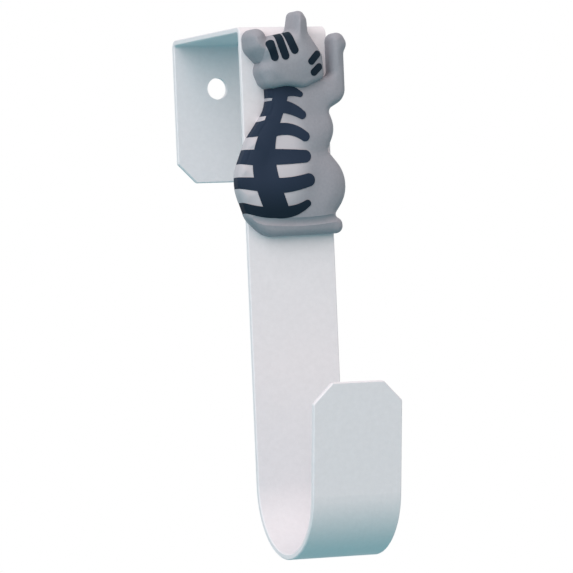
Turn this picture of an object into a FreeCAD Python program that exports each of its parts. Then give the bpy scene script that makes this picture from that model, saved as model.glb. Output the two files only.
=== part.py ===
import FreeCAD, Part
import math
import os

from FreeCAD import Vector

# An over door hook: one bent strip of white powder coated steel, with a soft moulded tabby cat on
# its front. The frame is upright, as the hook hangs: X to the right seen from the room, Y into the
# door, Z up. The origin is the middle of the face that rests on the door's top edge.

# The steel strip
STRIP_WIDTH = 25.0
SHEET = 1.5
DOOR_GAP = 46.0
BEND_INSIDE = 0.8
FLAP_DROP = 38.0
HOOK_DROP = 139.5
CRADLE_RADIUS = 17.5
TIP_RISE = 46.0
TIP_LEAN = 7.0
FLAP_CHAMFER = 5.3
TIP_CHAMFER = 5.3
CORNER_ROUND = 0.8
EDGE_BREAK = 0.25
HOLE_DIAMETER = 6.0
HOLE_DROP = 12.0

# The moulded cat, glued to the front plate: thicknesses from the plate, and the rounds of the front rims
BODY_THICKNESS = 4.2
HEAD_THICKNESS = 5.8
SIDE_EAR_THICKNESS = 4.8
BODY_EDGE_ROUND = 1.8
HEAD_EDGE_ROUND = 1.6
SIDE_EAR_EDGE_ROUND = 1.5

# The groove between haunch and tail
GROOVE_DEPTH = 0.45
GROOVE_RADIUS = 1.6
GROOVE_BEND = 78.0
GROOVE_LOW = -50.9

# The stripes, moulded into pockets that are deeper than the rims' rounds, and down the body's side
POCKET_DEPTH = 2.0
STRIPE_WRAP = 1.2
STRIPE_PROUD = 0.15
HEAD_STRIPE_WIDTH = 2.2
CHEEK_STRIPE_WIDTH = 1.85

# Faces and places that follow from the sizes above
DOOR_SIDE = DOOR_GAP / 2.0
FRONT_FACE = -DOOR_SIDE - SHEET
CRADLE_OUTSIDE = CRADLE_RADIUS + SHEET
CRADLE_CENTRE = Vector(0.0, -DOOR_SIDE - CRADLE_OUTSIDE, CRADLE_OUTSIDE - HOOK_DROP)
TIP_TOP = TIP_RISE - HOOK_DROP
LEAN = math.radians(TIP_LEAN)
DEEP = 3.0 * HEAD_THICKNESS


def polar(centre, radius, degrees):
    """A point in the YZ plane, at an angle that is 0 towards +Y and 90 upwards."""
    a = math.radians(degrees)
    return centre + Vector(0.0, radius * math.cos(a), radius * math.sin(a))


def arc(start, through, end):
    """A circular edge through three points."""
    return Part.Arc(start, through, end).toShape()


def line(start, end):
    """A straight edge."""
    return Part.LineSegment(start, end).toShape()


def sheet_side(offset):
    """One face of the sheet in side view, from the flap's end to the tip's end, and both end points.

    Offset 0 is the face that touches the door, and the sheet's thickness gives the other face.
    """
    bend = BEND_INSIDE + offset
    cradle = CRADLE_OUTSIDE - offset
    back = Vector(0.0, DOOR_SIDE - BEND_INSIDE, -BEND_INSIDE)
    front = Vector(0.0, BEND_INSIDE - DOOR_SIDE, -BEND_INSIDE)
    flap_end = Vector(0.0, DOOR_SIDE + offset, -FLAP_DROP)
    lean_angle = 180.0 - TIP_LEAN
    tip_start = polar(CRADLE_CENTRE, cradle, -lean_angle)
    rise = Vector(0.0, -math.sin(LEAN), math.cos(LEAN))
    outer_start = polar(CRADLE_CENTRE, CRADLE_OUTSIDE, -lean_angle)
    tip_end = tip_start + rise * ((TIP_TOP - outer_start.z) / math.cos(LEAN))
    edges = [
        line(flap_end, polar(back, bend, 0.0)),
        arc(polar(back, bend, 0.0), polar(back, bend, 45.0), polar(back, bend, 90.0)),
        line(polar(back, bend, 90.0), polar(front, bend, 90.0)),
        arc(polar(front, bend, 90.0), polar(front, bend, 135.0), polar(front, bend, 180.0)),
        line(polar(front, bend, 180.0), polar(CRADLE_CENTRE, cradle, 0.0)),
        arc(polar(CRADLE_CENTRE, cradle, 0.0), polar(CRADLE_CENTRE, cradle, -lean_angle / 2.0), tip_start),
        line(tip_start, tip_end),
    ]
    return edges, flap_end, tip_end


def corner_cutter(chamfer, side):
    """A three cornered prism that takes one chamfer off a plate whose end is at z 0, end downwards."""
    over = SHEET
    corner = Vector(side * (STRIP_WIDTH / 2.0 + over), -DEEP, -over)
    along = Vector(-side * (chamfer + 2.0 * over), 0.0, 0.0)
    upward = Vector(0.0, 0.0, chamfer + 2.0 * over)
    face = Part.Face(Part.makePolygon([corner, corner + along, corner + upward, corner]))
    return face.extrude(Vector(0.0, 2.0 * DEEP, 0.0))


def round_corners(shape, radius, ends):
    """Rounds the short edges that run through the sheet near the given end points."""
    picked = []
    for edge in shape.Edges:
        straight = edge.Curve.TypeId == "Part::GeomLine" and abs(edge.Length - SHEET) < 0.01
        near = min((edge.CenterOfMass - end).Length for end in ends) < STRIP_WIDTH
        level = edge.Vertexes[0].Point.x - edge.Vertexes[-1].Point.x
        if straight and near and abs(level) < 0.001:
            picked.append(edge)
    return shape.makeFillet(radius, picked)


def break_cut_edges(shape, size):
    """Takes the sharp corners off the long cut edges, and leaves the hole's rim sharp."""
    picked = []
    for edge in shape.Edges:
        if abs(edge.Length - SHEET) < 0.01:
            continue
        if edge.isClosed():
            continue
        first, last = edge.FirstParameter, edge.LastParameter
        middle = edge.valueAt((first + last) / 2.0)
        tangent = edge.tangentAt((first + last) / 2.0)
        crosses = abs(tangent.x) > 0.999
        at_side = abs(abs(middle.x) - STRIP_WIDTH / 2.0) < 0.01
        if crosses and not is_plate_end(middle):
            continue
        if at_side or is_plate_end(middle):
            picked.append(edge)
    return shape.makeChamfer(size, picked)


def is_plate_end(point):
    """Whether a point lies on the flap's or the tip's end, chamfers included."""
    on_flap = point.y > 0.0 and point.z < -FLAP_DROP + FLAP_CHAMFER + CORNER_ROUND
    on_tip = point.y < CRADLE_CENTRE.y and point.z > TIP_TOP - TIP_CHAMFER - CORNER_ROUND - SHEET
    return on_flap or on_tip


def build_strip():
    """The whole bent strip, one solid."""
    door_face, flap_a, tip_a = sheet_side(0.0)
    room_face, flap_b, tip_b = sheet_side(SHEET)
    outline = door_face + [line(tip_a, tip_b)] + room_face[::-1] + [line(flap_b, flap_a)]
    wire = Part.Wire(Part.sortEdges(outline)[0])
    strip = Part.Face(wire).extrude(Vector(STRIP_WIDTH, 0.0, 0.0))
    strip.translate(Vector(-STRIP_WIDTH / 2.0, 0.0, 0.0))
    for side in (-1.0, 1.0):
        flap_cut = corner_cutter(FLAP_CHAMFER, side)
        flap_cut.translate(Vector(0.0, DOOR_SIDE, -FLAP_DROP))
        strip = strip.cut(flap_cut)
        tip_cut = corner_cutter(TIP_CHAMFER, side)
        tip_cut.rotate(Vector(), Vector(1.0, 0.0, 0.0), 180.0 + TIP_LEAN)
        tip_cut.translate(tip_b)
        strip = strip.cut(tip_cut)
    hole = Part.makeCylinder(
        HOLE_DIAMETER / 2.0, 2.0 * DEEP, Vector(0.0, DOOR_SIDE - DEEP, -HOLE_DROP), Vector(0.0, 1.0, 0.0)
    )
    strip = strip.cut(hole)
    strip = round_corners(strip, CORNER_ROUND, [flap_a, tip_a])
    return break_cut_edges(strip, EDGE_BREAK)


def on_front(point):
    """A drawn point (x, z, ...) on the strip's front face."""
    return Vector(point[0], FRONT_FACE, point[1])


def prism(face):
    """A face drawn on the strip's front, pulled well out towards the room."""
    return face.extrude(Vector(0.0, -DEEP, 0.0))


def rounded_face(corners):
    """A closed face on the strip's front, from (x, z, radius) corners joined by tangent arcs."""
    points = [on_front(corner) for corner in corners]
    bends = []
    for i, here in enumerate(points):
        before = (points[i - 1] - here).normalize()
        after = (points[(i + 1) % len(points)] - here).normalize()
        half = before.getAngle(after) / 2.0
        radius = corners[i][2]
        run = radius / math.tan(half)
        inwards = (before + after).normalize()
        middle = here + inwards * (radius / math.sin(half) - radius)
        bends.append((here + before * run, middle, here + after * run))
    edges = []
    for i, (start, middle, end) in enumerate(bends):
        edges.append(line(bends[i - 1][2], start))
        edges.append(arc(start, middle, end))
    return Part.Face(Part.Wire(edges))


def rounded_plate(corners, thickness, rim_round):
    """A level figure on the strip's front, with its front rim rounded."""
    plate = rounded_face(corners).extrude(Vector(0.0, -thickness, 0.0))
    rim = [edge for edge in plate.Edges if edge.BoundBox.YMax < FRONT_FACE - thickness / 2.0]
    return plate.makeFillet(rim_round, rim)


# Outlines of the cat, seen from behind, as (x, z, corner radius)
BODY_CORNERS = [
    # back of the neck, back and haunch
    (-6.4, -8.0, 2.6),
    (-6.2, -20.3, 9.0),
    (-12.6, -29.0, 9.0),
    (-16.9, -39.4, 13.0),
    (-13.4, -49.8, 6.0),
    # tail, curled along the bottom
    (-8.4, -54.6, 7.0),
    (14.0, -54.2, 2.0),
    (13.7, -50.7, 1.9),
    (11.5, -49.4, 1.0),
    # belly and chest
    (17.7, -41.0, 9.6),
    (10.3, -32.0, 1.2),
    (12.9, -26.2, 7.0),
    (10.9, -21.1, 1.5),
    # elbow, raised arm and paw
    (16.1, -18.2, 4.5),
    (16.1, -6.0, 3.0),
    (17.3, -3.6, 2.4),
    (15.4, -0.2, 2.2),
    (12.0, -1.2, 2.3),
    (12.0, -12.2, 1.3),
    # shoulder, under the head
    (7.0, -12.2, 2.0),
    (5.0, -8.0, 2.0),
]
HEAD_CORNERS = [
    # top of the head and right ear
    (-7.1, -1.6, 2.2),
    (0.3, -0.2, 1.2),
    (1.3, 5.2, 1.7),
    (3.7, 5.2, 1.7),
    (5.0, 3.0, 2.5),
    (5.2, -0.6, 2.5),
    # cheek, chin and jaw
    (9.1, -6.5, 3.0),
    (9.5, -12.8, 2.2),
    (3.4, -15.4, 5.0),
    (-1.6, -14.7, 8.0),
    (-7.4, -15.7, 3.0),
    (-9.4, -10.6, 3.0),
    (-7.3, -5.0, 3.0),
]
SIDE_EAR_CORNERS = [
    (-8.5, -8.7, 1.7),
    (-11.9, -5.2, 3.4),
    (-12.2, 0.4, 2.6),
    (-7.7, 0.7, 2.6),
    (-5.4, -3.4, 3.0),
    (-6.2, -8.6, 1.7),
]

# The stripe down the back as (x, z) points, right side downwards and left side upwards
SPINE_RIGHT = [
    (-0.8, -12.6),
    (-0.8, -15.5),
    (-3.2, -23.2),
    (-5.2, -29.6),
    (-5.1, -37.0),
    (-3.1, -44.2),
    (-2.0, -47.6),
]
SPINE_LEFT = [
    (-9.2, -47.6),
    (-10.3, -44.7),
    (-12.0, -37.4),
    (-10.7, -29.2),
    (-7.6, -23.1),
    (-5.0, -15.5),
    (-5.0, -12.6),
]

# Side stripes as centre points (x, z) at root, middle and end, and the half width at root and end
SIDE_STRIPES = [
    [(-3.0, -16.3), (0.2, -16.2), (2.4, -17.0), 1.75, 0.8],
    [(-2.8, -20.2), (0.7, -21.3), (2.7, -22.5), 1.75, 1.2],
    [(-5.0, -26.4), (-0.2, -26.5), (3.3, -28.3), 1.7, 1.35],
    [(-7.0, -33.5), (-0.5, -33.6), (3.1, -33.6), 2.15, 1.7],
    [(-6.0, -41.2), (-0.6, -40.9), (3.9, -39.9), 2.1, 1.75],
    [(-7.0, -47.8), (-0.3, -47.8), (3.3, -46.1), 1.8, 0.95],
    [(-3.5, -16.8), (-5.6, -16.6), (-9.0, -16.4), 1.3, 1.2],
    [(-4.5, -20.3), (-6.5, -20.5), (-10.0, -21.0), 1.85, 1.95],
    [(-7.0, -25.4), (-10.0, -26.1), (-14.6, -26.6), 2.0, 1.6],
    [(-8.0, -33.6), (-11.5, -33.5), (-17.5, -32.9), 2.35, 1.85],
    [(-8.0, -41.0), (-11.5, -40.6), (-18.2, -39.9), 2.1, 1.45],
    [(-5.0, -48.2), (-11.3, -47.7), (-16.5, -45.9), 1.55, 1.1],
]

# Bars on the head, from end to end as (x, z)
HEAD_BARS = [
    [(-6.1, -3.7), (-5.1, -7.2)],
    [(-3.9, -1.5), (-2.0, -6.9)],
    [(-1.3, -1.1), (0.7, -5.4)],
]
CHEEK_BARS = [
    [(7.2, -6.5), (5.4, -8.5)],
    [(7.6, -9.9), (6.0, -11.4)],
]


def build_body():
    """Torso, haunch, tail and raised arm, one level solid with a soft groove over the tail."""
    out = BODY_THICKNESS - GROOVE_DEPTH + GROOVE_RADIUS
    centre = Vector(0.0, FRONT_FACE - out, GROOVE_LOW + GROOVE_BEND)
    groove = Part.makeTorus(GROOVE_BEND, GROOVE_RADIUS, centre, Vector(0.0, 1.0, 0.0))
    return rounded_plate(BODY_CORNERS, BODY_THICKNESS, BODY_EDGE_ROUND).cut(groove)


def build_head():
    """The head with its right ear, thicker than the body."""
    return rounded_plate(HEAD_CORNERS, HEAD_THICKNESS, HEAD_EDGE_ROUND)


def build_side_ear():
    """The left ear, a lobe that lies lower than the head and goes under its rim."""
    return rounded_plate(SIDE_EAR_CORNERS, SIDE_EAR_THICKNESS, SIDE_EAR_EDGE_ROUND)


def smooth(points):
    """One smooth edge through drawn points."""
    curve = Part.BSplineCurve()
    curve.interpolate([on_front(point) for point in points])
    return curve.toShape()


def side_stripe(root, middle, end, root_half, end_half):
    """A tapering stripe with a round end, as a face."""
    along = (on_front(end) - on_front(middle)).normalize()
    across = Vector(-along.z, 0.0, along.x)
    root_along = (on_front(middle) - on_front(root)).normalize()
    root_across = Vector(-root_along.z, 0.0, root_along.x)
    middle_across = (across + root_across).normalize()
    middle_half = (root_half + end_half) / 2.0
    sides = []
    for sign in (1.0, -1.0):
        places = [
            on_front(root) + root_across * (sign * root_half),
            on_front(middle) + middle_across * (sign * middle_half),
            on_front(end) + across * (sign * end_half),
        ]
        curve = Part.BSplineCurve()
        curve.interpolate(places)
        sides.append((curve.toShape(), places))
    upper, lower = sides
    tip = on_front(end) + along * end_half
    edges = [upper[0], arc(upper[1][2], tip, lower[1][2]), lower[0], line(lower[1][0], upper[1][0])]
    return Part.Face(Part.Wire(Part.sortEdges(edges)[0]))


def bar(start, end, width):
    """A straight stripe with round ends on the head, as a prism from its pocket's floor outwards."""
    first, last = on_front(start), on_front(end)
    along = (last - first).normalize() * (width / 2.0)
    across = Vector(-along.z, 0.0, along.x)
    edges = [
        line(first + across, last + across),
        arc(last + across, last + along, last - across),
        line(last - across, first - across),
        arc(first - across, first - along, first + across),
    ]
    pattern = prism(Part.Face(Part.Wire(edges)))
    pattern.translate(Vector(0.0, POCKET_DEPTH - HEAD_THICKNESS, 0.0))
    return pattern


def back_stripes():
    """The spine over its pocket's floor, with side stripes that wrap the grey core, as one prism."""
    right, left = smooth(SPINE_RIGHT), smooth(SPINE_LEFT)
    top = line(on_front(SPINE_LEFT[-1]), on_front(SPINE_RIGHT[0]))
    bottom = line(on_front(SPINE_RIGHT[-1]), on_front(SPINE_LEFT[0]))
    floor = Vector(0.0, POCKET_DEPTH - BODY_THICKNESS, 0.0)
    spine = prism(Part.Face(Part.Wire([right, bottom, left, top])))
    spine.translate(floor)
    ribs = [prism(side_stripe(*stripe)) for stripe in SIDE_STRIPES]
    core = rounded_face(BODY_CORNERS).makeOffset2D(-STRIPE_WRAP).extrude(floor)
    return spine.multiFuse(ribs).cut(core).removeSplitter()


def inlay(pattern, figure):
    """What fills a pattern's pocket in a figure, standing a little proud of its skin."""
    proud = figure.copy()
    proud.translate(Vector(0.0, -STRIPE_PROUD, 0.0))
    return pattern.common(proud)


def main():
    """Builds every piece and writes one STEP file for each."""
    body, head = build_body(), build_head()
    stripes = back_stripes()
    bars = {}
    for count, (start, end) in enumerate(HEAD_BARS, 1):
        bars["head_stripe_%d" % count] = bar(start, end, HEAD_STRIPE_WIDTH)
    for count, (start, end) in enumerate(CHEEK_BARS, 1):
        bars["cheek_stripe_%d" % count] = bar(start, end, CHEEK_STRIPE_WIDTH)
    parts = {name: inlay(pattern, head) for name, pattern in bars.items()}
    parts["back_stripes"] = inlay(stripes, body).cut(head)
    figure = body.cut(stripes).multiFuse([head, build_side_ear()])
    parts["cat_figure"] = figure.cut(list(bars.values()))
    parts["hook_strip"] = build_strip()
    os.makedirs("parts", exist_ok=True)
    for name, shape in parts.items():
        solid, = shape.Solids
        solid.exportStep("parts/%s.step" % name)
        print(name, round(solid.Volume, 1), "mm3")


main()
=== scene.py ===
# %% [markdown]
# # An over door hook with a moulded cat
#
# The real object is a strip of sheet steel, bent to go over a door's top and curled up into a cradle at the
# bottom. A small cat of soft grey plastic, with navy stripes, sits on the front. The solids come from the
# engineering model, so this lesson is about what makes them look real: the camera, the light and the finishes.

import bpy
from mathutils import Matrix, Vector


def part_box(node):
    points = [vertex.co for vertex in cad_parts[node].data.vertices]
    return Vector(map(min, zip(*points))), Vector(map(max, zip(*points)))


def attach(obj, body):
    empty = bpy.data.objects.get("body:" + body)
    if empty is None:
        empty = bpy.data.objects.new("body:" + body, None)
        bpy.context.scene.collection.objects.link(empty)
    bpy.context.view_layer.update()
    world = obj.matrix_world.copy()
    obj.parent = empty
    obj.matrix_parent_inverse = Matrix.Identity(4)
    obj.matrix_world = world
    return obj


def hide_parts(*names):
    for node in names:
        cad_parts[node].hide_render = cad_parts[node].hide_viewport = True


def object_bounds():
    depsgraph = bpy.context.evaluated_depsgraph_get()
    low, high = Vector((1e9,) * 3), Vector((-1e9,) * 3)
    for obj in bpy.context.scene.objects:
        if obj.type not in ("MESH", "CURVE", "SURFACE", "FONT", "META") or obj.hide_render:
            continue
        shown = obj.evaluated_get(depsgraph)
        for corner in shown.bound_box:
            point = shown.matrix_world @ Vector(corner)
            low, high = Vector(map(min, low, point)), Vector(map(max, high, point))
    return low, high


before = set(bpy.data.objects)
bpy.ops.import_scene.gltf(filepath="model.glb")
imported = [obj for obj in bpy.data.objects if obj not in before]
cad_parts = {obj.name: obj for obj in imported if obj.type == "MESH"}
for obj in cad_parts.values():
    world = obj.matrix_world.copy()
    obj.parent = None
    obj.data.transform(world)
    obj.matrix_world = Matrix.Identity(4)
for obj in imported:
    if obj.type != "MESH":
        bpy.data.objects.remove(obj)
CAD_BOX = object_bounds()
print("loaded", sorted(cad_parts))

# %% [markdown]
# ## The camera
#
# The picture was taken from the left and a touch below, with a long lens and a camera that leaned a little. A
# camera could be placed by eye, but a point to aim at, two angles, a distance and a lean say the same thing in
# numbers that can be checked, and they keep the picture steady while the rest of the scene changes.

# %% Place the camera
import math

import bpy
from mathutils import Quaternion, Vector

MM = 0.001
AIM = Vector((0.0, -20.0, -67.86)) * MM
DISTANCE = 1124.95 * MM
AZIMUTH = math.radians(23.10)
LOOK_UP = math.radians(0.486)
LEAN = math.radians(-2.40)
LENS = 264.3
SENSOR_WIDTH = 36.0
SIDE_SHIFT = -0.00056
NEAREST_SEEN = 0.01

camera_data = bpy.data.cameras.new("camera")
camera_data.lens = LENS
camera_data.sensor_width = SENSOR_WIDTH
camera_data.shift_x = SIDE_SHIFT
camera_data.clip_start = NEAREST_SEEN
camera = bpy.data.objects.new("camera", camera_data)
bpy.context.scene.collection.objects.link(camera)
bpy.context.scene.camera = camera

look = Vector((
    math.sin(AZIMUTH) * math.cos(LOOK_UP),
    math.cos(AZIMUTH) * math.cos(LOOK_UP),
    math.sin(LOOK_UP),
))
camera.location = AIM - look * DISTANCE
camera.rotation_mode = "QUATERNION"
camera.rotation_quaternion = look.to_track_quat("-Z", "Y") @ Quaternion((0.0, 0.0, 1.0), LEAN)
print("camera at", [round(c, 4) for c in camera.location])

# %% [markdown]
# ## Small helpers for shader nodes
#
# Materials and the world are built from nodes. They could be wired one by one, but a few helpers for the steps
# that come up again, such as a calculation or a blend of two colours, keep each finish short enough to read.

# %% Helpers for nodes
WHITE_LIGHT = (1.0, 1.0, 1.0)


def node(tree, kind, **inputs):
    """Adds one shader node and sets its inputs, whose spaces are written as underscores."""
    made = tree.nodes.new(kind)
    for name, value in inputs.items():
        made.inputs[name.replace("_", " ")].default_value = value
    return made


def maths(tree, operation, first, second):
    """One calculation with two values, each a link or a plain number."""
    made = node(tree, "ShaderNodeMath")
    made.operation = operation
    for socket, value in zip(made.inputs, (first, second)):
        if isinstance(value, float):
            socket.default_value = value
        else:
            tree.links.new(value, socket)
    return made.outputs[0]


def seen_directly(tree):
    """A value of 1 for what the camera sees, straight or through gloss and glass, and 0 for other light."""
    path = node(tree, "ShaderNodeLightPath").outputs
    either = maths(tree, "MAXIMUM", path["Is Camera Ray"], path["Is Glossy Ray"])
    return maths(tree, "MAXIMUM", either, path["Is Transmission Ray"])


def mixed(tree, factor, first, second):
    """A colour between two colours. Each is a link or a plain colour."""
    mix = node(tree, "ShaderNodeMix")
    mix.data_type = "RGBA"
    tree.links.new(factor, mix.inputs[0])
    for socket, colour in ((mix.inputs[6], first), (mix.inputs[7], second)):
        if isinstance(colour, tuple):
            socket.default_value = (*colour, 1.0)
        else:
            tree.links.new(colour, socket)
    return mix.outputs[2]


print("helpers ready")

# %% [markdown]
# ## Studio light
#
# The background has to be white without any more light on the object. So what the camera sees directly is white,
# while the light that reaches the object comes from a plain soft studio: six soft sides, each with its own
# colour, that blend into each other. Lamps on all sides could do this too, but they would add hard highlights.

# %% Studio light
LIGHT_FROM = {
    (-1, 0, 0): (0.36, 0.39, 0.41),
    (1, 0, 0): (0.66, 0.64, 0.64),
    (0, -1, 0): (1.10, 0.85, 0.78),
    (0, 1, 0): (1.32, 1.26, 1.26),
    (0, 0, 1): (0.44, 0.46, 0.49),
    (0, 0, -1): (0.10, 0.26, 0.30),
}

bpy.context.scene.view_settings.view_transform = "Standard"
world = bpy.data.worlds.new("studio")
bpy.context.scene.world = world
world.use_nodes = True
tree = world.node_tree
tree.nodes.clear()
direction = node(tree, "ShaderNodeTexCoord").outputs["Generated"]
light_colour = None
for side, side_colour in LIGHT_FROM.items():
    towards = node(tree, "ShaderNodeVectorMath")
    towards.operation = "DOT_PRODUCT"
    towards.inputs[1].default_value = side
    tree.links.new(direction, towards.inputs[0])
    share = maths(tree, "MAXIMUM", towards.outputs["Value"], 0.0)
    share = maths(tree, "MULTIPLY", share, share)
    scaled = node(tree, "ShaderNodeVectorMath")
    scaled.operation = "MULTIPLY_ADD"
    scaled.inputs[0].default_value = side_colour
    tree.links.new(share, scaled.inputs[1])
    if light_colour is not None:
        tree.links.new(light_colour, scaled.inputs[2])
    light_colour = scaled.outputs["Vector"]
colour = mixed(tree, seen_directly(tree), light_colour, WHITE_LIGHT)
background = node(tree, "ShaderNodeBackground", Strength=1.0)
output = node(tree, "ShaderNodeOutputWorld")
tree.links.new(colour, background.inputs["Color"])
tree.links.new(background.outputs[0], output.inputs["Surface"])
print("studio with", len(LIGHT_FROM), "soft sides")

# %% [markdown]
# ## Window light
#
# A soft studio alone leaves the forms flat. One wide lamp from the upper left, like a window, gives the cat its
# soft shading and the shadow under its head. A small lamp would give hard edges that the picture doesn't have.

# %% Window light
LAMP_PLACE = Vector((-1.1, -1.1, 0.9))
LAMP_SIZE = 2.0
LAMP_POWER = 28.5

lamp_data = bpy.data.lights.new("window", "AREA")
lamp_data.size = LAMP_SIZE
lamp_data.energy = LAMP_POWER
lamp = bpy.data.objects.new("window", lamp_data)
lamp.location = LAMP_PLACE
lamp.rotation_mode = "QUATERNION"
lamp.rotation_quaternion = (AIM - lamp.location).to_track_quat("-Z", "Y")
bpy.context.scene.collection.objects.link(lamp)
print("lamp at", [round(c, 2) for c in lamp.location])

# %% [markdown]
# ## Floor
#
# A hook hangs, so the floor lies well below it. The camera sees it as white paper, like the background, but for
# all other light it is sea green, so it throws that colour back on whatever faces down. A green lamp from below
# would do nearly the same, but would shine on the sides as well.

# %% Floor
import bmesh

FLOOR_DROP = 0.6
FLOOR_HALF = 5.0
FLOOR_BOUNCE = (0.05, 0.36, 0.41)
FLOOR_LEVEL = CAD_BOX[0][2] - FLOOR_DROP


def new_object(name, mesh_builder):
    """Links an object at the origin, whose mesh the builder shapes as a bmesh."""
    shape = bmesh.new()
    mesh_builder(shape)
    mesh = bpy.data.meshes.new(name)
    shape.to_mesh(mesh)
    shape.free()
    made = bpy.data.objects.new(name, mesh)
    bpy.context.scene.collection.objects.link(made)
    return made


def new_material(name):
    """A new material, its node tree and its Principled shader."""
    made = bpy.data.materials.new(name)
    made.use_nodes = True
    return made, made.node_tree, made.node_tree.nodes["Principled BSDF"]


def lay_floor(shape):
    """One level square below the hook."""
    bmesh.ops.create_grid(shape, x_segments=1, y_segments=1, size=FLOOR_HALF)
    bmesh.ops.translate(shape, verts=shape.verts, vec=(0.0, 0.0, FLOOR_LEVEL))


floor = new_object("floor", lay_floor)
paper, tree, shader = new_material("floor_paper")
shader.inputs["Roughness"].default_value = 1.0
shader.inputs["Specular IOR Level"].default_value = 0.0
floor_colour = mixed(tree, seen_directly(tree), FLOOR_BOUNCE, WHITE_LIGHT)
tree.links.new(floor_colour, shader.inputs["Base Color"])
floor.data.materials.append(paper)
print("floor at", round(FLOOR_LEVEL, 3))

# %% [markdown]
# ## Powder coat on the strip
#
# Powder coat is baked on as a dry powder, so it is even and opaque, with a satin gloss and a very fine pebbled
# skin. An image could show that, but a little noise as bump gives it at any size and needs no unwrapping.

# %% Powder coat
WHITE = (0.775, 0.752, 0.782)
COAT_ROUGHNESS = 0.42
COAT_MOTTLING = 0.05
COAT_MOTTLING_SCALE = 750.0
COAT_PEBBLES_SCALE = 1000.0
COAT_PEBBLES_MM = 0.035


def surface_bump(tree, shader, scale, height_mm, detail=2.0):
    """Fine relief from noise, with its height in millimetres, on the piece's own coordinates."""
    place = node(tree, "ShaderNodeTexCoord")
    noise = node(tree, "ShaderNodeTexNoise", Scale=scale, Detail=detail, Roughness=0.5)
    bump = node(tree, "ShaderNodeBump", Strength=1.0, Distance=height_mm * MM)
    tree.links.new(place.outputs["Object"], noise.inputs["Vector"])
    tree.links.new(noise.outputs["Fac"], bump.inputs["Height"])
    tree.links.new(bump.outputs["Normal"], shader.inputs["Normal"])


def mottled(tree, colour, amount, scale):
    """The colour, slightly lighter and darker from place to place."""
    place = node(tree, "ShaderNodeTexCoord").outputs["Object"]
    noise = node(tree, "ShaderNodeTexNoise", Scale=scale, Detail=2.0, Roughness=0.6)
    tree.links.new(place, noise.inputs["Vector"])
    darker = tuple(part * (1.0 - amount) for part in colour)
    lighter = tuple(part * (1.0 + amount) for part in colour)
    return mixed(tree, noise.outputs["Fac"], darker, lighter)


def paint_node(name, material):
    """Gives a node of the model its finish."""
    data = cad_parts[name].data
    data.materials.clear()
    data.materials.append(material)


coat, tree, shader = new_material("powder_coat")
coat_colour = mottled(tree, WHITE, COAT_MOTTLING, COAT_MOTTLING_SCALE)
tree.links.new(coat_colour, shader.inputs["Base Color"])
shader.inputs["Roughness"].default_value = COAT_ROUGHNESS
surface_bump(tree, shader, COAT_PEBBLES_SCALE, COAT_PEBBLES_MM, detail=3.0)
paint_node("hook_strip", coat)
print("strip is coated")

# %% [markdown]
# ## The moulded cat
#
# The cat is soft plastic, cast in an open mould: matte, slightly grainy, grey all through, with navy plastic
# poured into the pockets for its stripes. The model keeps its faces level, which is right for engineering, but
# the real haunch, back, head and ears swell up softly. Bump could only shade them, so they get real hills, each
# broad on top and gentle at its rim. The same hills lift the grey and the navy pieces, so that the stripes stay
# in their pockets, and they rise towards the camera's side, so that the outlines stay where they were seen.

# %% Hills of the cat
# Middle x and z, half width, half height and rise, all in millimetres
SWELLS = {
    "haunch": (7.0, -37.5, 15.5, 16.0, 1.2),
    "shoulder": (8.0, -22.5, 9.0, 11.0, 0.8),
    "back": (-6.0, -30.0, 15.5, 24.0, 1.0),
    "head": (0.5, -3.0, 16.5, 13.8, 2.4),
    "left ear": (-9.4, -0.6, 8.0, 8.0, 1.3),
    "top ear": (0.6, 3.0, 5.5, 8.0, 0.7),
    "arm": (14.2, -9.0, 5.0, 15.0, 0.5),
    "seat": (2.0, -44.5, 18.0, 12.5, 1.1),
}
PLATE_FACE = -24.5
FULL_RISE_DEPTH = 2.4
RIM_FADE = 4.5
SLOPE_STEP = 0.2
RISE_ALONG = Vector((-math.sin(AZIMUTH), -math.cos(AZIMUTH), 0.0))


def hill(x, z, middle_x, middle_z, half_width, half_height, rise):
    """How high one hill stands at a place on the front, all in millimetres."""
    reach = ((x - middle_x) / half_width) ** 2 + ((z - middle_z) / half_height) ** 2
    inside = max(0.0, 1.0 - reach * reach)
    return rise * inside * inside


def rise_at(x, y, z, outline):
    """The hills at a place in millimetres: less near the cat's outline and near the plate that it lies on."""
    depth = min(max((PLATE_FACE - y) / FULL_RISE_DEPTH, 0.0), 1.0)
    near = outline.find(Vector((x, 0.0, z)) * MM)[2] / MM
    fade = min(near / RIM_FADE, 1.0)
    return sum(hill(x, z, *numbers) for numbers in SWELLS.values()) * fade * (2.0 - fade) * depth


def slope_at(x, y, z, outline):
    """How fast the rise grows along each axis, from places a little to both sides."""
    step = SLOPE_STEP
    return Vector((
        rise_at(x + step, y, z, outline) - rise_at(x - step, y, z, outline),
        rise_at(x, y + step, z, outline) - rise_at(x, y - step, z, outline),
        rise_at(x, y, z + step, outline) - rise_at(x, y, z - step, outline),
    )) / (2.0 * step)


print("hills on", sorted(SWELLS))

# %% [markdown]
# ## Faces that can bend
#
# A level face is one big polygon, so it has nothing inside that could rise. A remesh would round off the crisp
# pocket edges. A cut along a grid keeps every edge in place and only adds points between them. The outline is
# kept as a cloud of close points, so that the distance to the cat's rim is quick to look up.

# %% Divide the level faces
from mathutils.kdtree import KDTree

GRID = 1.0
LEVEL_UNDER = math.radians(0.3)
OUTLINE_STEP = 0.08
MERGE_WITHIN = 0.001
CUT_WITHIN = 0.002
ON_PLATE_WITHIN = 0.05
FACES_THE_PLATE = 0.5


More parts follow.
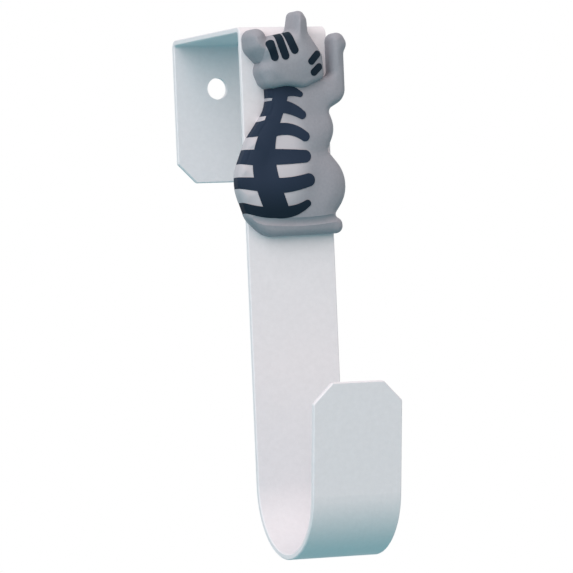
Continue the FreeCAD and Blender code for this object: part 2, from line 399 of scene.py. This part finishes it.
def divided_copy(name):
    """A merged copy of a node's mesh, cut along a grid so that its level faces can bend."""
    shape = bmesh.new()
    shape.from_mesh(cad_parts[name].data)
    bmesh.ops.remove_doubles(shape, verts=shape.verts, dist=MERGE_WITHIN * MM)
    bmesh.ops.dissolve_limit(shape, angle_limit=LEVEL_UNDER, verts=shape.verts, edges=shape.edges)
    low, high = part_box(name)
    for axis in (0, 2):
        line = math.ceil(low[axis] / MM / GRID) * GRID
        while line < high[axis] / MM:
            place, across = Vector((0.0, 0.0, 0.0)), Vector((0.0, 0.0, 0.0))
            place[axis], across[axis] = line * MM, 1.0
            everything = shape.verts[:] + shape.edges[:] + shape.faces[:]
            bmesh.ops.bisect_plane(
                shape, geom=everything, plane_co=place, plane_no=across, dist=CUT_WITHIN * MM
            )
            line += GRID
    return shape


def outline_of(shape):
    """A search tree of close points along the edge where the cat's side walls meet its flat back."""
    shape.normal_update()
    points = []
    for edge in shape.edges:
        start, end = (vert.co for vert in edge.verts)
        facing = sorted(face.normal.y for face in edge.link_faces)
        on_plate = min(start.y, end.y) > (PLATE_FACE - ON_PLATE_WITHIN) * MM
        if on_plate and facing[0] < FACES_THE_PLATE < facing[-1]:
            count = math.ceil(edge.calc_length() / (OUTLINE_STEP * MM))
            points += [start.lerp(end, part / count) for part in range(count)]
    tree = KDTree(len(points))
    for number, point in enumerate(points):
        tree.insert(Vector((point.x, 0.0, point.z)), number)
    tree.balance()
    return tree


stripe_parts = sorted(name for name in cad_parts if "stripe" in name)
divided = {name: divided_copy(name) for name in ["cat_figure"] + stripe_parts}
cat_outline = outline_of(divided["cat_figure"])
print("divided", {name: len(shape.faces) for name, shape in divided.items()})

# %% [markdown]
# ## The swelling
#
# Each piece is lifted by the hills under it. Blender could shade the lifted faces by their own angles, but the
# long thin faces beside the pockets would show as wedges. So the shading directions are read off the model's
# mesh, where they are exact, and tilted by the slope of the hills, just as the surface is.

# %% Swell the pieces
from mathutils.bvhtree import BVHTree
from mathutils.interpolate import poly_3d_calc

TOWARDS_FACE_MIDDLE = 0.02
SAME_SURFACE_OVER = 0.8


def exact_normals(mesh, source):
    """The shading directions of the source's own mesh, read off at every corner of its divided copy."""
    directions = [corner.vector.copy() for corner in source.corner_normals]
    corners = [[source.vertices[number].co for number in face.vertices] for face in source.polygons]
    search = BVHTree.FromPolygons(
        [vert.co for vert in source.vertices], [face.vertices for face in source.polygons]
    )
    normals = []
    for face in mesh.polygons:
        for number in face.vertices:
            place = mesh.vertices[number].co
            nearest = search.find_nearest(place.lerp(face.center, TOWARDS_FACE_MIDDLE))[2]
            shares = poly_3d_calc(corners[nearest], place)
            around = source.polygons[nearest].loop_indices
            normal = sum((directions[c] * share for c, share in zip(around, shares)), Vector())
            if source.polygons[nearest].normal.dot(face.normal) < SAME_SURFACE_OVER:
                normal = face.normal
            normals.append(normal.normalized())
    return normals


def swollen_mesh(name, shape, source, outline):
    """The divided shape as a mesh, lifted by the hills, with its shading tilted just as its surface is."""
    for face in shape.faces:
        face.smooth = True
    mesh = bpy.data.meshes.new(name)
    shape.to_mesh(mesh)
    shape.free()
    normals = exact_normals(mesh, source)
    slopes = [slope_at(*(vert.co / MM), outline) for vert in mesh.vertices]
    rises = [rise_at(*(vert.co / MM), outline) for vert in mesh.vertices]
    for corner in mesh.loops:
        normal, slope = normals[corner.index], slopes[corner.vertex_index]
        tilted = normal - slope * (RISE_ALONG.dot(normal) / (1.0 + slope.dot(RISE_ALONG)))
        normals[corner.index] = tilted.normalized()
    for vert, rise in zip(mesh.vertices, rises):
        vert.co += RISE_ALONG * rise * MM
    mesh.normals_split_custom_set(normals)
    print(name, "swells by", round(max(rises), 2), "mm")
    return mesh


pieces = {}
for name, shape in divided.items():
    mesh = swollen_mesh("soft_" + name, shape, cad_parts[name].data, cat_outline)
    piece = bpy.data.objects.new("soft_" + name, mesh)
    bpy.context.scene.collection.objects.link(piece)
    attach(piece, "root")
    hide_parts(name)
    pieces[name] = piece

# %% [markdown]
# ## Grey plastic
#
# The cat is matte grey, and paler between its ribs and between the bars on its head. Painting that would need an
# image and an unwrap. A soft field, which is 1 over a patch and falls to 0 at its rim, blends the two greys by
# place alone.

# %% Grey plastic
GREY = (0.302, 0.306, 0.342)
GREY_BETWEEN_RIBS = (0.51, 0.49, 0.525)
GREY_ROUGHNESS = 0.6
GREY_GLOSS = 0.3
GREY_MOTTLING = 0.10
GREY_MOTTLING_SCALE = 1500.0
GRAIN_SCALE = 2600.0
GRAIN_MM = 0.012
# Middle x and z, half width and half height, all in millimetres
BACK_FIELD = (-8.5, -33.5, 13.5, 19.0)
BACK_PALENESS = 1.3
HEAD_FIELD = (-2.6, -4.6, 6.5, 5.0)
HEAD_PALENESS = 0.3


def field(tree, x, z, half_width, half_height):
    """A soft patch seen from the front: a broad middle of 1, falling to 0 at its rim."""
    place = node(tree, "ShaderNodeTexCoord").outputs["Object"]
    centred = node(tree, "ShaderNodeMapping")
    centred.vector_type = "TEXTURE"
    centred.inputs["Location"].default_value = (x * MM, 0.0, z * MM)
    centred.inputs["Scale"].default_value = (half_width * MM, 1.0, half_height * MM)
    tree.links.new(place, centred.inputs["Vector"])
    flat = node(tree, "ShaderNodeVectorMath")
    flat.operation = "MULTIPLY"
    flat.inputs[1].default_value = (1.0, 0.0, 1.0)
    tree.links.new(centred.outputs["Vector"], flat.inputs[0])
    square = node(tree, "ShaderNodeVectorMath")
    square.operation = "DOT_PRODUCT"
    tree.links.new(flat.outputs["Vector"], square.inputs[0])
    tree.links.new(flat.outputs["Vector"], square.inputs[1])
    fourth = maths(tree, "MULTIPLY", square.outputs["Value"], square.outputs["Value"])
    inside = maths(tree, "MAXIMUM", maths(tree, "SUBTRACT", 1.0, fourth), 0.0)
    return maths(tree, "MULTIPLY", inside, inside)


skin, tree, shader = new_material("grey_moulding")
shader.inputs["Roughness"].default_value = GREY_ROUGHNESS
shader.inputs["Specular IOR Level"].default_value = GREY_GLOSS
surface_bump(tree, shader, GRAIN_SCALE, GRAIN_MM)
on_back = maths(tree, "MULTIPLY", field(tree, *BACK_FIELD), BACK_PALENESS)
on_head = maths(tree, "MULTIPLY", field(tree, *HEAD_FIELD), HEAD_PALENESS)
pale = maths(tree, "MINIMUM", maths(tree, "ADD", on_back, on_head), 1.0)
mottled_grey = mottled(tree, GREY, GREY_MOTTLING, GREY_MOTTLING_SCALE)
tree.links.new(mixed(tree, pale, mottled_grey, GREY_BETWEEN_RIBS), shader.inputs["Base Color"])
paint_node("cat_figure", skin)
pieces["cat_figure"].data.materials.append(skin)
print("grey on the cat")

# %% [markdown]
# ## Navy plastic
#
# The stripes are the same kind of plastic in navy, nearly without gloss. They look deeper on the head and at the
# bottom than in the middle of the back. That darkening is painted shade: the same kind of field blends two
# navies.

# %% Navy plastic
NAVY = (0.0195, 0.032, 0.058)
# The darker navy is painted shade, blended in towards the head and the bottom.
NAVY_PAINTED_SHADE = (0.006, 0.0155, 0.027)
NAVY_ROUGHNESS = 0.65
NAVY_GLOSS = 0.1
NAVY_FIELD = (-6.0, -29.0, 24.0, 20.0)
NAVY_FIELD_STRENGTH = 1.2

fill, tree, shader = new_material("navy_moulding")
shader.inputs["Roughness"].default_value = NAVY_ROUGHNESS
shader.inputs["Specular IOR Level"].default_value = NAVY_GLOSS
surface_bump(tree, shader, GRAIN_SCALE, GRAIN_MM)
# Painted shade: the field keeps the lighter navy in the middle of the back and blends to the darker navy towards
# the head and the bottom.
middle = maths(tree, "MULTIPLY", field(tree, *NAVY_FIELD), NAVY_FIELD_STRENGTH)
middle = maths(tree, "MINIMUM", middle, 1.0)
tree.links.new(mixed(tree, middle, NAVY_PAINTED_SHADE, NAVY), shader.inputs["Base Color"])
for name in stripe_parts:
    paint_node(name, fill)
    pieces[name].data.materials.append(fill)
print("navy on", stripe_parts)
